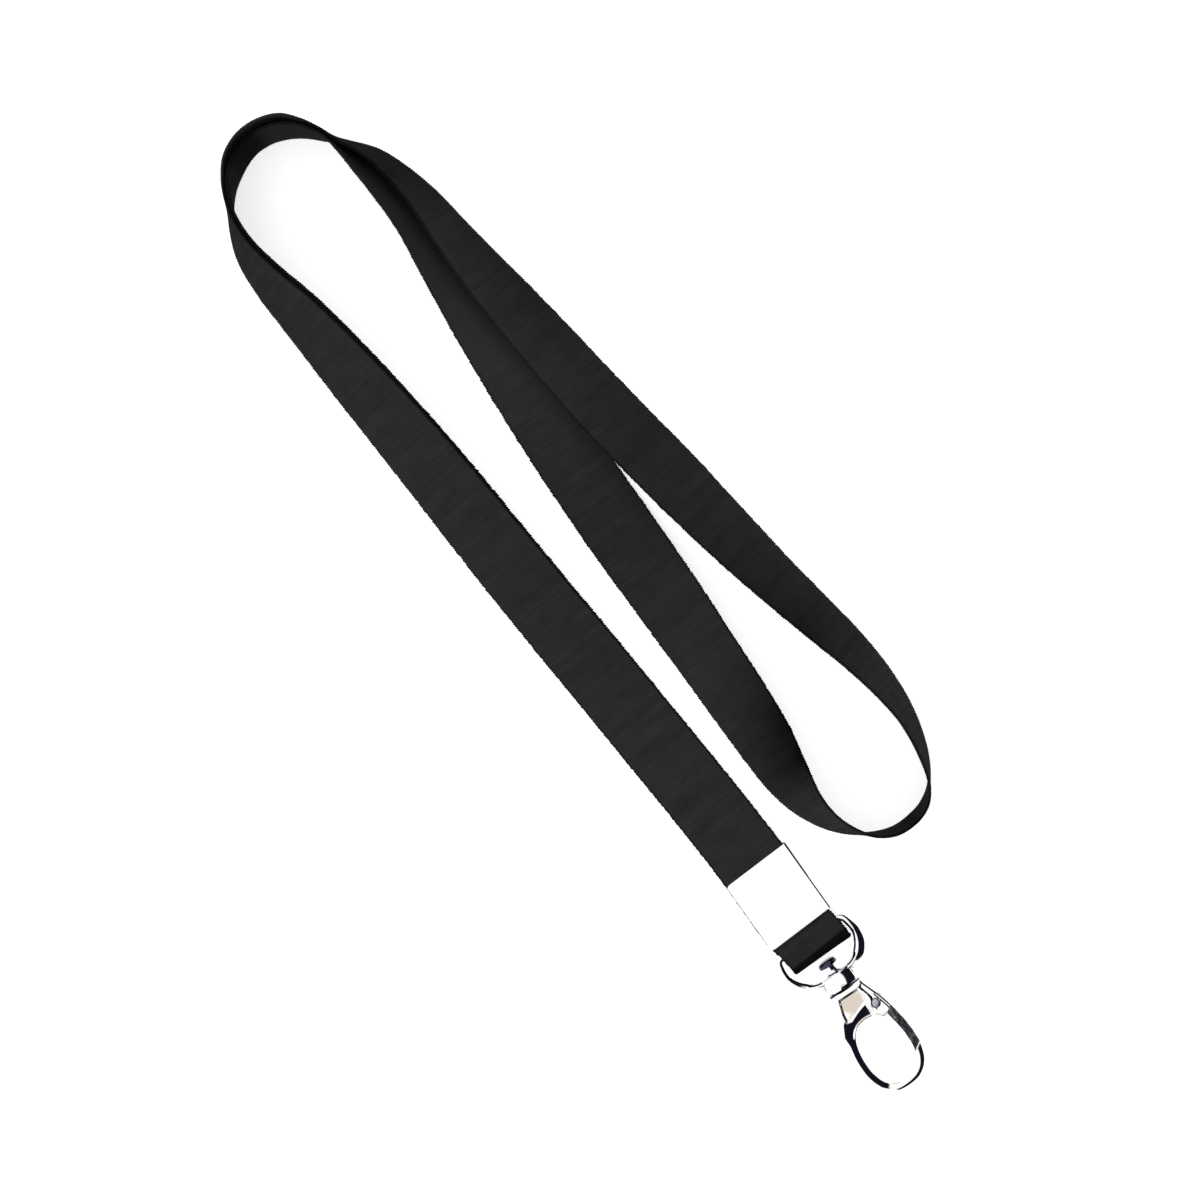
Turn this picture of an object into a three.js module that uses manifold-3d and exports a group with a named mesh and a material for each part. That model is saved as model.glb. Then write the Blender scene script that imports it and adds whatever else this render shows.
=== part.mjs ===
// Lanyard lying on a table: a doubled neck loop of ribbed webbing, a fold-over sheet metal crimp
// and an oval swivel hook. Millimetres, +Z up, table at z = 0. Everything is built about the middle
// of the crimp, with +Y running up the webbing, and is moved to the middle of the object at the end.

import * as THREE from 'three';
import { mergeVertices } from 'three/addons/utils/BufferGeometryUtils.js';
import Module from 'manifold-3d';

const wasm = await Module();
wasm.setup();

// ---- driving dimensions ----
const ORIGIN = [20.24, 96.67];           // middle of the whole object, measured from the crimp
const GAP = 0.3;                        // clearance between neighbouring pieces
const WEB_WIDTH = 19.8;
const WEB_LOOP_WIDTH = 19.0;            // the webbing is drawn in a little where it holds the eye
const WEB_THICK = 0.9;
const WEB_FOOT = 0.25;                  // height of the lower selvedge over the table
const WEB_X = -0.75;                    // middle of the webbing in the crimp
const LAYER_PITCH = 1.15;               // webbing layers pressed together in the crimp

const CRIMP_TOP = 11.1;
const CRIMP_BOTTOM = -10.6;
const CRIMP_SHEET = 0.7;
const CRIMP_HEIGHT = 5.2;
const CRIMP_OPEN_X = -10.4;             // open side of the fold
const CRIMP_FOLD_X = 8.5;               // where the spine starts to curve

const AXIS_Z = 3.4;                     // height of the hook's swivel axis
const BAR_Y = -13.9;                    // bar of the eye, the axis the eye swings on
// The eye's wire is slim at the bar and full where it meets the boss: [y, radius].
const EYE_WIRE = [[-14.6, 1.0], [-16.6, 1.1], [-20.0, 1.15], [-22.4, 1.55], [-24.5, 1.65]];
const BOSS = {
  top: -25.7, bottom: -30.3, halfWide: 4.4, flat: 1.2, halfThick: 3.2, side: 1.75, boreR: 2.0,
};
const STUD = { top: -21.6, headEdge: -22.6, headEnd: -23.2, headR: 2.75, neckR: 1.6, end: -34.6 };

const HOOK_TOP = -30.6;
const HOOK_THICK = 5.6;
const HOOK_SKEW = -1.8;                 // degrees, the hook hangs a little off the swivel's axis
const HOOK_BEVEL = 1.1;
const SOCKET = { r: 2.0, end: -35.0 };
const PIVOT = [4.9, -38.6];             // gate pin
const KNUCKLE_R = 3.9;
const SLOT = { x: 1.8, y: -35.6, half: 1.7 };
const TONGUE = { r: 2.6, bottom: -1.4, top: -0.2 };
const PIN_R = 1.15;
const PIN_HALF = 2.5;
const SPRING = { wire: 0.18, coilR: 1.7, bottom: 0.25, top: 1.15, turns: 2.25 };

// ---- materials ----
const webbing = new THREE.MeshStandardMaterial({ color: 0x242424, roughness: 0.9 });
const nickel = new THREE.MeshStandardMaterial({ color: 0xd9d9dc, roughness: 0.2, metalness: 1.0 });
const steel = new THREE.MeshStandardMaterial({ color: 0xb4b6ba, roughness: 0.35, metalness: 1.0 });

// ---- helpers ----
const UP = new THREE.Vector3(0, 0, 1);

function solid(geometry) {
  const bare = geometry.clone();
  bare.deleteAttribute('normal');
  bare.deleteAttribute('uv');
  const merged = mergeVertices(bare, 1e-4);
  return new wasm.Manifold(new wasm.Mesh({
    numProp: 3,
    vertProperties: new Float32Array(merged.attributes.position.array),
    triVerts: new Uint32Array(merged.index.array),
  }));
}

function geometryOf(manifold) {
  const mesh = manifold.getMesh();
  const geometry = new THREE.BufferGeometry();
  geometry.setAttribute('position', new THREE.BufferAttribute(new Float32Array(mesh.vertProperties), 3));
  geometry.setIndex(new THREE.BufferAttribute(new Uint32Array(mesh.triVerts), 1));
  geometry.computeVertexNormals();
  return geometry;
}

// A plate: an outline in the XY plane, from height z0 to z1.
function plate(shape, z0, z1, bevel = 0, steps = 12) {
  const geometry = new THREE.ExtrudeGeometry(shape, {
    depth: z1 - z0 - 2 * bevel,
    bevelEnabled: bevel > 0,
    bevelSize: bevel,
    bevelThickness: bevel,
    bevelOffset: -bevel,
    bevelSegments: 1,
    curveSegments: steps,
  });
  geometry.translate(0, 0, z0 + bevel);
  return geometry;
}

function disc(x, y, r, z0, z1, sides = 24) {
  const geometry = new THREE.CylinderGeometry(r, r, z1 - z0, sides);
  geometry.rotateX(Math.PI / 2);
  geometry.translate(x, y, (z0 + z1) / 2);
  return geometry;
}

// A body of revolution round the swivel axis; the profile is a list of [radius, y].
function turned(profile, sides = 24) {
  const geometry = new THREE.LatheGeometry(profile.map(([r, y]) => new THREE.Vector2(r, y)), sides);
  geometry.translate(0, 0, AXIS_Z);
  return geometry;
}

function splineShape(points) {
  const shape = new THREE.Shape();
  shape.moveTo(points[0][0], points[0][1]);
  shape.splineThru(points.slice(1).map(([x, y]) => new THREE.Vector2(x, y)));
  return shape;
}

function polygonShape(points) {
  return new THREE.Shape(points.map(([x, y]) => new THREE.Vector2(x, y)));
}

function wire(points, radius, steps, sides) {
  const circle = new THREE.Shape();
  circle.absarc(0, 0, radius, 0, 2 * Math.PI, false);
  return new THREE.ExtrudeGeometry(circle, {
    steps,
    curveSegments: sides,
    extrudePath: new THREE.CatmullRomCurve3(points),
  });
}

// A closed wire lying flat, its radius given by the y it has reached.
function taperedRing(points, radiusAt, steps, sides) {
  const curve = new THREE.CatmullRomCurve3(points, true);
  const vertices = [];
  const faces = [];
  for (let i = 0; i < steps; i += 1) {
    const point = curve.getPoint(i / steps);
    const out = new THREE.Vector3().crossVectors(curve.getTangent(i / steps), UP).normalize();
    const row = i * sides;
    const after = ((i + 1) % steps) * sides;
    for (let k = 0; k < sides; k += 1) {
      const angle = (k / sides) * 2 * Math.PI;
      const rim = point.clone().addScaledVector(out, radiusAt(point.y) * Math.cos(angle));
      rim.addScaledVector(UP, radiusAt(point.y) * Math.sin(angle));
      vertices.push(rim.x, rim.y, rim.z);
      const next = (k + 1) % sides;
      faces.push(row + k, after + next, row + next, row + k, after + k, after + next);
    }
  }
  const geometry = new THREE.BufferGeometry();
  geometry.setAttribute('position', new THREE.Float32BufferAttribute(vertices, 3));
  geometry.setIndex(faces);
  return geometry;
}

// ---- webbing route ----
// The two layers that lie together, from the crimp up the left side and round the top:
// [x, y, lean, lift, spacing]. The line is the lower (inner) layer. Lean is how far the selvedge
// facing the middle of the loop is raised, in degrees; lift is how far the layer is held off the
// table; spacing is how far the upper (outer) layer lies from it.
const DOUBLED = [
  [WEB_X, -9.0, 0, 2.05, LAYER_PITCH],
  [WEB_X, 3.0, 0, 2.05, LAYER_PITCH],
  [WEB_X, 12.0, 0, 2.05, LAYER_PITCH],
  [-1.1, 22.0, 0, 1.5, 1.25],
  [-1.9, 37.0, 1, 0.5, 1.35],
  [-3.4, 60.0, 3, 0.0, 1.4],
  [-4.8, 82.0, 6, 0.0, 1.4],
  [-6.3, 104.0, 11, 0.0, 1.4],
  [-7.6, 126.0, 17, 0.0, 1.4],
  [-8.7, 148.0, 24, 0.0, 1.4],
  [-9.9, 166.0, 31, 0.0, 1.4],
  [-11.2, 182.0, 38, 0.0, 1.4],
  [-12.4, 196.0, 46, 0.0, 1.4],
  [-13.7, 208.0, 54, 0.0, 1.4],
  [-15.3, 219.0, 63, 0.0, 1.3],
  [-15.8, 230.0, 72, 0.0, 1.25],
  [-13.5, 239.5, 82, 0.0, 1.25],
  [-9.5, 246.2, 89, 0.0, 1.6],
  [-4.2, 250.2, 92, 0.0, 2.3],
  [1.0, 252.1, 92, 0.0, 2.7],
  [6.3, 252.1, 92, 0.0, 2.7],
  [11.3, 250.4, 92, 0.0, 2.5],
  [15.6, 247.2, 90, 0.0, 1.9],
  [18.9, 243.2, 87, 0.0, 1.6],
];

// The single strand from the top of the loop, down the right side, round the lower bend and back
// up through the middle: [x, y, lean]; lean is positive while the selvedge on the right of the
// direction of travel is the raised one.
const SINGLE = [
  [23.3, 239.2, 82],
  [27.4, 231.5, 73],
  [30.2, 222.5, 68],
  [31.8, 213.0, 63],
  [32.4, 202.0, 56],
  [33.3, 189.0, 47],
  [34.8, 175.0, 39],
  [36.8, 157.0, 32],
  [39.4, 136.0, 28],
  [42.6, 116.0, 28],
  [46.0, 94.0, 34],
  [49.3, 75.0, 43],
  [52.8, 58.0, 50],
  [55.7, 44.0, 57],
  [57.2, 32.0, 64],
  [57.2, 21.0, 71],
  [54.9, 10.0, 77],
  [51.5, 2.6, 83],
  [47.0, -1.4, 88],
  [41.5, -2.9, 90],
  [36.0, -2.6, 90],
  [31.0, -0.2, 88],
  [26.8, 3.8, 82],
  [23.3, 9.5, 75],
  [21.2, 17.0, 65],
  [20.9, 27.0, 50],
  [21.7, 38.0, 38],
  [22.2, 52.0, 30],
  [22.5, 68.0, 25],
  [22.8, 86.0, 15],
  [22.9, 106.0, 4],
  [23.2, 126.0, -4],
  [24.0, 148.0, -12],
  [24.9, 168.0, -23],
  [25.5, 184.0, -35],
  [25.9, 198.0, -47],
  [26.1, 210.0, -57],
  [25.5, 220.0, -61],
  [24.2, 229.5, -66],
  [21.9, 238.0, -76],
];

// The small loop that holds the eye, from the cut end inside the crimp, under the bar, round and
// back over the bar: [x, y, z].
const BAR_LOOP = [
  [WEB_X, 9.5, 1.45],
  [WEB_X, 0.0, 1.45],
  [WEB_X, -9.0, 1.45],
  [-0.65, -11.6, 1.35],
  [-0.25, BAR_Y, 1.25],
  [0.15, -16.4, 1.15],
  [0.45, -18.6, 1.45],
  [0.45, -19.75, 3.1],
  [0.6, -18.9, 4.75],
  [0.5, -16.6, 5.35],
  [0.2, BAR_Y, 5.5],
  [-0.1, -12.3, 4.85],
  [-0.4, -11.0, 3.95],
  [-0.6, -9.6, 3.75],
  [WEB_X, -7.0, 3.75],
];

function footHeight(lean, lift) {
  const angle = THREE.MathUtils.degToRad(Math.abs(lean));
  return WEB_FOOT + lift + (WEB_WIDTH / 2) * Math.sin(angle) + (WEB_THICK / 2) * Math.abs(Math.cos(angle));
}

// Directions of travel in plan along a list of rows.
function headings(rows) {
  return rows.map((row, i) => {
    const a = rows[Math.max(i - 1, 0)];
    const b = rows[Math.min(i + 1, rows.length - 1)];
    return new THREE.Vector3(b[0] - a[0], b[1] - a[1], 0).normalize();
  });
}

function acrossOf(heading, lean) {
  const angle = THREE.MathUtils.degToRad(lean);
  const right = new THREE.Vector3(heading.y, -heading.x, 0);
  return right.multiplyScalar(Math.cos(angle)).addScaledVector(UP, Math.sin(angle));
}

function doubledLayers() {
  const lower = [];
  const upper = [];
  headings(DOUBLED).forEach((heading, i) => {
    const [x, y, lean, lift, spacing] = DOUBLED[i];
    const across = acrossOf(heading, lean);
    const facing = new THREE.Vector3().crossVectors(across, heading);
    const centre = new THREE.Vector3(x, y, footHeight(lean, lift));
    const raised = centre.clone().addScaledVector(facing, spacing);
    upper.push({ centre: raised, across, width: WEB_WIDTH });
    lower.push({ centre, across: across.clone().negate(), width: WEB_WIDTH });
  });
  return { upper, lower: lower.reverse() };
}

function strapStations() {
  const { upper, lower } = doubledLayers();
  const single = headings(SINGLE).map((heading, i) => {
    const [x, y, lean] = SINGLE[i];
    return {
      centre: new THREE.Vector3(x, y, footHeight(lean, 0)),
      across: acrossOf(heading, lean),
      width: WEB_WIDTH,
    };
  });
  const small = BAR_LOOP.map(([x, y, z]) => ({
    centre: new THREE.Vector3(x, y, z),
    across: new THREE.Vector3(1, 0, 0),
    width: y < -9.5 ? WEB_LOOP_WIDTH : WEB_WIDTH,
  }));
  return [...small, ...upper.slice(1), ...single, ...lower];
}

function webbingStrap() {
  const stations = strapStations();
  const centres = new THREE.CatmullRomCurve3(stations.map((s) => s.centre));
  const acrosses = new THREE.CatmullRomCurve3(stations.map((s) => s.across));
  const vertices = [];
  const faces = [];
  const rowsPerStation = 3;
  const rows = (stations.length - 1) * rowsPerStation;
  for (let row = 0; row <= rows; row += 1) {
    const t = row / rows;
    const centre = centres.getPoint(t);
    const ahead = centres.getPoint(Math.min(t + 1e-4, 1));
    const behind = centres.getPoint(Math.max(t - 1e-4, 0));
    const travel = ahead.sub(behind).normalize();
    const across = acrosses.getPoint(t);
    across.addScaledVector(travel, -across.dot(travel)).normalize();
    const facing = new THREE.Vector3().crossVectors(across, travel).normalize();
    const at = t * (stations.length - 1);
    const before = stations[Math.floor(at)].width;
    const after = stations[Math.ceil(at)].width;
    const half = THREE.MathUtils.lerp(before, after, at % 1) / 2;
    for (const [side, face] of [[-1, -1], [1, -1], [1, 1], [-1, 1]]) {
      const corner = centre.clone().addScaledVector(across, side * half);
      corner.addScaledVector(facing, (face * WEB_THICK) / 2);
      vertices.push(corner.x, corner.y, corner.z);
    }
  }
  for (let row = 0; row < rows; row += 1) {
    for (let side = 0; side < 4; side += 1) {
      const a = row * 4 + side;
      const b = row * 4 + ((side + 1) % 4);
      faces.push(a, b + 4, b, a, a + 4, b + 4);
    }
  }
  const last = rows * 4;
  faces.push(0, 1, 2, 0, 2, 3, last, last + 2, last + 1, last, last + 3, last + 2);
  const geometry = new THREE.BufferGeometry();
  geometry.setAttribute('position', new THREE.Float32BufferAttribute(vertices, 3));
  geometry.setIndex(faces);
  geometry.computeVertexNormals();
  return geometry;
}

// ---- crimp: one sheet folded round the webbing, spine on the right ----
function crimpPlate() {
  const middle = CRIMP_HEIGHT / 2;
  const inner = middle - CRIMP_SHEET;
  const section = new THREE.Shape();
  section.moveTo(CRIMP_OPEN_X, 0);
  section.lineTo(CRIMP_FOLD_X, 0);
  section.absarc(CRIMP_FOLD_X, middle, middle, -Math.PI / 2, Math.PI / 2, false);
  section.lineTo(CRIMP_OPEN_X, CRIMP_HEIGHT);
  section.lineTo(CRIMP_OPEN_X, CRIMP_HEIGHT - CRIMP_SHEET);
  section.lineTo(CRIMP_FOLD_X, CRIMP_HEIGHT - CRIMP_SHEET);
  section.absarc(CRIMP_FOLD_X, middle, inner, Math.PI / 2, -Math.PI / 2, true);
  section.lineTo(CRIMP_OPEN_X, CRIMP_SHEET);
  const geometry = new THREE.ExtrudeGeometry(section, {
    depth: CRIMP_TOP - CRIMP_BOTTOM,
    bevelEnabled: false,
    curveSegments: 12,
  });
  geometry.rotateX(Math.PI / 2);
  geometry.translate(0, CRIMP_TOP, 0);
  return geometry;
}

// ---- swivel eye: rounded D with the boss cast on ----
function eyeWireRadius(y) {
  const after = EYE_WIRE.findIndex(([level]) => level <= y);
  if (after === 0) return EYE_WIRE[0][1];
  if (after < 0) return EYE_WIRE[EYE_WIRE.length - 1][1];
  const [y0, r0] = EYE_WIRE[after - 1];
  const [y1, r1] = EYE_WIRE[after];
  return THREE.MathUtils.mapLinear(y, y0, y1, r0, r1);
}

function swivelEye() {
  const half = [
    [4.5, BAR_Y], [9.3, BAR_Y], [10.8, -14.6], [11.5, -16.4], [11.75, -19.4],
    [11.0, -22.2], [9.7, -24.2], [7.9, -25.8], [5.6, -26.8], [3.0, -27.1],
  ];
  const right = half.map(([x, y]) => new THREE.Vector3(x, y, AXIS_Z));
  const left = half.map(([x, y]) => new THREE.Vector3(-x, y, AXIS_Z)).reverse();
  const ring = solid(taperedRing([...right, ...left], eyeWireRadius, 96, 20));
  const boss = plate(polygonShape([
    [BOSS.flat, BOSS.halfThick], [BOSS.halfWide, BOSS.side], [BOSS.halfWide, -BOSS.side],
    [BOSS.flat, -BOSS.halfThick], [-BOSS.flat, -BOSS.halfThick], [-BOSS.halfWide, -BOSS.side],
    [-BOSS.halfWide, BOSS.side], [-BOSS.flat, BOSS.halfThick],
  ]), BOSS.bottom, BOSS.top);
  boss.rotateX(-Math.PI / 2);
  boss.translate(0, 0, AXIS_Z);
  const bore = turned([[0, BOSS.bottom - 1], [BOSS.boreR, BOSS.bottom - 1], [BOSS.boreR, -24], [0, -24]]);
  return geometryOf(ring.add(solid(boss)).subtract(solid(bore)));
}

// ---- headed stud the hook hangs on ----
function swivelStud() {
  return turned([
    [0, STUD.end], [STUD.neckR, STUD.end], [STUD.neckR, STUD.headEnd], [STUD.headR, STUD.headEnd],
    [STUD.headR, STUD.headEdge], [STUD.headR * 0.6, -21.85], [0, STUD.top],
  ]);
}

// ---- hook ----
const HOOK_Z0 = AXIS_Z - HOOK_THICK / 2;
const HOOK_Z1 = AXIS_Z + HOOK_THICK / 2;
const PART_LINE = { inner: [5.2, -56.5], outer: [10.5, -53.3] };   // slanted joint under the gate

function mirrored(half) {
  return [...half, ...half.slice(0, -1).reverse().map(([x, y]) => [-x, y])];
}

function hookOval() {
  const shoulder = [[5.4, -32.6], [6.9, -36.5], [8.2, -41.0], [9.1, -46.0], [9.5, -50.5]];
  const tip = [[9.1, -55.2], [7.3, -59.5], [4.0, -62.1], [0, -62.85]];
  const rim = mirrored([...shoulder, ...tip]);
  const outline = new THREE.Shape();
  outline.moveTo(-4.9, HOOK_TOP);
  outline.lineTo(4.9, HOOK_TOP);
  outline.lineTo(rim[0][0], rim[0][1]);
  outline.splineThru(rim.slice(1).map(([x, y]) => new THREE.Vector2(x, y)));
  outline.lineTo(-4.9, HOOK_TOP);
  const body = solid(plate(outline, HOOK_Z0, HOOK_Z1, HOOK_BEVEL, 3));
  const eyelet = mirrored([
    [0, -41.2], [2.8, -41.8], [4.9, -43.8], [6.1, -47.0],
    [6.55, -51.0], [6.15, -55.2], [4.3, -59.1], [0, -60.7],
  ]);
  const opening = splineShape(eyelet);
  return body.subtract(solid(plate(opening, HOOK_Z0 - 1, HOOK_Z1 + 1, 0, 3)));
}

// Everything on the gate's side of the hook: outside the knuckle and above the slanted joint.
function gateZone(clearance) {
  const drop = clearance * 1.2;
  const region = polygonShape([
    [PART_LINE.inner[0] - 2, PART_LINE.inner[1] - 1.2 - drop],
    [PART_LINE.inner[0], PART_LINE.inner[1] - drop],
    [PART_LINE.outer[0], PART_LINE.outer[1] - drop],
    [PART_LINE.outer[0] + 2, PIVOT[1] - 1.2],
    [PIVOT[0] - 1.6, PIVOT[1] - 1.2],
  ]);
  const zone = solid(plate(region, HOOK_Z0 - 1, HOOK_Z1 + 1));
  const knuckle = disc(PIVOT[0], PIVOT[1], KNUCKLE_R + GAP - clearance, HOOK_Z0 - 2, HOOK_Z1 + 2, 40);
  return zone.subtract(solid(knuckle));
}

function hookBody() {
  const slotShape = polygonShape([
    [SLOT.x, SLOT.y], [12, SLOT.y], [12, PIVOT[1] - KNUCKLE_R - 2.5], [SLOT.x, PIVOT[1] - KNUCKLE_R - 2.5],
  ]);
  const slot = solid(plate(slotShape, AXIS_Z - SLOT.half, AXIS_Z + SLOT.half));
  const pinHole = solid(disc(PIVOT[0], PIVOT[1], PIN_R + GAP, HOOK_Z0 - 1, HOOK_Z1 + 1));
  const socket = solid(turned([
    [0, SOCKET.end], [SOCKET.r, SOCKET.end], [SOCKET.r, HOOK_TOP + 1], [0, HOOK_TOP + 1],
  ]));
  return geometryOf(hookOval().subtract(gateZone(GAP)).subtract(slot).subtract(pinHole).subtract(socket));
}

function hookGate() {
  const limb = hookOval().intersect(gateZone(0));
  const z0 = AXIS_Z + TONGUE.bottom;
  const z1 = AXIS_Z + TONGUE.top;
  const round = solid(disc(PIVOT[0], PIVOT[1], TONGUE.r, z0, z1));
  const arm = polygonShape([
    [PIVOT[0] - 0.2, PIVOT[1]], [5.6, -43.6], [8.0, -43.6], [7.4, PIVOT[1] - 0.6],
  ]);
  const pinHole = solid(disc(PIVOT[0], PIVOT[1], PIN_R + GAP, HOOK_Z0 - 1, HOOK_Z1 + 1));
  return geometryOf(limb.add(round).add(solid(plate(arm, z0, z1))).subtract(pinHole));
}

function gatePin() {
  return disc(PIVOT[0], PIVOT[1], PIN_R, AXIS_Z - PIN_HALF, AXIS_Z + PIN_HALF, 16);
}

// Torsion spring round the pin: one leg on the end of the slot, one leg on the gate.
function gateSpring() {
  const points = [];
  const stepsPerTurn = 12;
  const steps = SPRING.turns * stepsPerTurn;
  const start = -Math.PI * 1.25;
  points.push(new THREE.Vector3(2.3, -36.3, AXIS_Z + SPRING.bottom));
  for (let i = 0; i <= steps; i += 1) {
    const angle = start + (i / stepsPerTurn) * 2 * Math.PI;
    const z = AXIS_Z + THREE.MathUtils.lerp(SPRING.bottom, SPRING.top, i / steps);
    const x = PIVOT[0] + SPRING.coilR * Math.cos(angle);
    const y = PIVOT[1] + SPRING.coilR * Math.sin(angle);
    points.push(new THREE.Vector3(x, y, z));
  }
  points.push(new THREE.Vector3(6.1, -42.0, AXIS_Z + SPRING.top));
  return wire(points, SPRING.wire, 90, 3);
}

// ---- assembly ----
const group = new THREE.Group();
group.name = 'lanyard';

function add(name, geometry, material) {
  geometry.translate(-ORIGIN[0], -ORIGIN[1], 0);
  const mesh = new THREE.Mesh(geometry, material);
  mesh.name = name;
  group.add(mesh);
}

// The hook's own parts turn together about the middle of its top end.
function hung(geometry) {
  geometry.translate(0, -HOOK_TOP, 0);
  geometry.rotateZ(THREE.MathUtils.degToRad(HOOK_SKEW));
  return geometry.translate(0, HOOK_TOP, 0);
}

add('webbing_strap', webbingStrap(), webbing);
add('crimp_plate', crimpPlate(), nickel);
add('swivel_eye', swivelEye(), nickel);
add('swivel_stud', swivelStud(), nickel);
add('hook_body', hung(hookBody()), nickel);
add('hook_gate', hung(hookGate()), nickel);
add('gate_pin', hung(gatePin()), steel);
add('gate_spring', hung(gateSpring()), steel);

export default group;
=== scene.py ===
"""Lanyard: doubled neck loop of ribbed webbing, folded crimp and oval swivel hook, lying on a table."""

import math

import bmesh
import bpy
import numpy as np
from mathutils import Matrix, Vector


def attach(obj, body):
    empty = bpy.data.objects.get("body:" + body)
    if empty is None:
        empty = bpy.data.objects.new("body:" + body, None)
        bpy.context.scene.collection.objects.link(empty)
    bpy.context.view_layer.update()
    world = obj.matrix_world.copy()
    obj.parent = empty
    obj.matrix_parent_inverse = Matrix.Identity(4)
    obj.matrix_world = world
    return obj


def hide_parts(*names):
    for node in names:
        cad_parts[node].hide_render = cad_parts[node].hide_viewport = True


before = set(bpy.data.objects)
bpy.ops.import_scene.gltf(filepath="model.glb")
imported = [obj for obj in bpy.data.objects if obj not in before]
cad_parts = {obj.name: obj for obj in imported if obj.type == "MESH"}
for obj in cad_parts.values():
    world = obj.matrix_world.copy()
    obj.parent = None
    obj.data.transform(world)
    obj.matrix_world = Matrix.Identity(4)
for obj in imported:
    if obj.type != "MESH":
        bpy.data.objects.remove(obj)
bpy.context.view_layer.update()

MM = 0.001
ORIGIN = np.array([20.24, 96.67, 0.0])  # the row's origin, in mm from the middle of the crimp

# ---------------------------------------------------------------- camera
VIEW_CENTRE = (7.26, 95.46)             # mm, point of the table in the middle of the frame
VIEW_HEIGHT = 700.0                     # mm above the level of the crimp
VIEW_WIDTH = 331.3                      # mm across the frame at that level
LEVEL = 4.5                             # mm, the crimp's level over the table
SENSOR = 36.0
VIEW_TURN = -35.5                       # degrees, the view's right against the row's +X


def place(points):
    """Points in mm from the middle of the crimp, as row-frame points in metres."""
    return (np.asarray(points, float) - ORIGIN) * MM


def make_camera():
    data = bpy.data.cameras.new("camera")
    data.sensor_width = SENSOR
    data.lens = SENSOR * VIEW_HEIGHT / VIEW_WIDTH
    data.clip_start, data.clip_end = 0.01, 10.0
    camera = bpy.data.objects.new("camera", data)
    camera.location = place([*VIEW_CENTRE, LEVEL + VIEW_HEIGHT])
    camera.rotation_euler = (0.0, 0.0, math.radians(VIEW_TURN))
    bpy.context.scene.collection.objects.link(camera)
    bpy.context.scene.camera = camera


make_camera()

# ---------------------------------------------------------------- sizes, mm
WEB_WIDTH = 19.8
WEB_LOOP_WIDTH = 19.0                   # drawn in where it goes round the eye's bar
WEB_THICK = 0.9
WEB_FOOT = 0.25                         # lowest edge over the table
WEB_X = -0.75                           # middle of the webbing in the crimp
LAYER_PITCH = 1.15
RIB_PITCH = 0.72
ROWS_PER_RIB = 3
WARP_PITCH = 0.30
CURVE_STEPS = 24                        # points worked out between two stations of a route
RIB_HALF, VALLEY_HALF = 0.455, 0.35     # half of the thickness on a rib and between two
EDGE_NOTCH, EDGE_PULL = 0.2, 0.07       # selvedge drawn in between ribs, and its unevenness
SELVEDGE, SELVEDGE_TONE = 0.5, 0.42     # points nearer than this to the edge are darker by this factor
FOLD_Y, FOLD_SOFT, FOLD_SHADE = -17.1, 0.7, 0.75        # painted shade over the fold at the bottom of the small loop
# one side of the strip's section, from the middle: distance in from the selvedge, share of thickness
SIDE = [(None, 1.0), (1.1, 1.0), (0.75, 0.86), (0.3, 0.9), (0.0, 0.0)]

AXIS_Z = 3.4                            # height of the swivel axis
BAR_Y = -13.9                           # the eye's bar, in the small loop
PIVOT = np.array([4.9, -38.6])          # the gate's pin

CRIMP_TOP, CRIMP_BOTTOM = 11.1, -10.6
CRIMP_OPEN_X, CRIMP_FOLD_X = -10.4, 8.5
CRIMP_HEIGHT, CRIMP_SHEET = 5.2, 0.7
CRIMP_SKEW = 0.03                       # rise of its ends per mm across
CRIMP_BELLY, BELLY_SPAN = 0.05, 19.0    # how far its flats swell, over this width
SPINE_BACK = 0.75                       # how far the ends draw back over the spine
CORNER_BACK, CORNER_RUN = 0.4, 0.6      # the same at the open side's corners, and over what width
CRIMP_EDGE = 0.16                       # rounding of the sheet's edges

# the two layers that lie together: x, y, lean, lift, spacing
DOUBLED = [
    (WEB_X, -9.0, 0, 2.05, LAYER_PITCH), (WEB_X, 3.0, 0, 2.05, LAYER_PITCH),
    (WEB_X, 12.0, 0, 2.05, LAYER_PITCH), (-1.1, 22.0, 0, 1.5, 1.25),
    (-1.9, 37.0, 1, 0.5, 1.35), (-3.4, 60.0, 3, 0.0, 1.4), (-4.8, 82.0, 6, 0.0, 1.4),
    (-6.3, 104.0, 11, 0.0, 1.4), (-7.6, 126.0, 17, 0.0, 1.4), (-8.7, 148.0, 24, 0.0, 1.4),
    (-9.9, 166.0, 31, 0.0, 1.4), (-11.2, 182.0, 38, 0.0, 1.4), (-12.4, 196.0, 46, 0.0, 1.4),
    (-13.7, 208.0, 54, 0.0, 1.4), (-15.3, 219.0, 63, 0.0, 1.3), (-15.8, 230.0, 72, 0.0, 1.1),
    (-13.5, 239.5, 82, 0.0, 1.0), (-9.5, 246.2, 89, 0.0, 1.15), (-4.2, 250.2, 92, 0.0, 2.3),
    (1.0, 252.1, 92, 0.0, 2.7), (6.3, 252.1, 92, 0.0, 2.7), (11.3, 250.4, 92, 0.0, 2.5),
    (15.6, 247.2, 90, 0.0, 1.6), (18.9, 243.2, 87, 0.0, 1.1),
]
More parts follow.
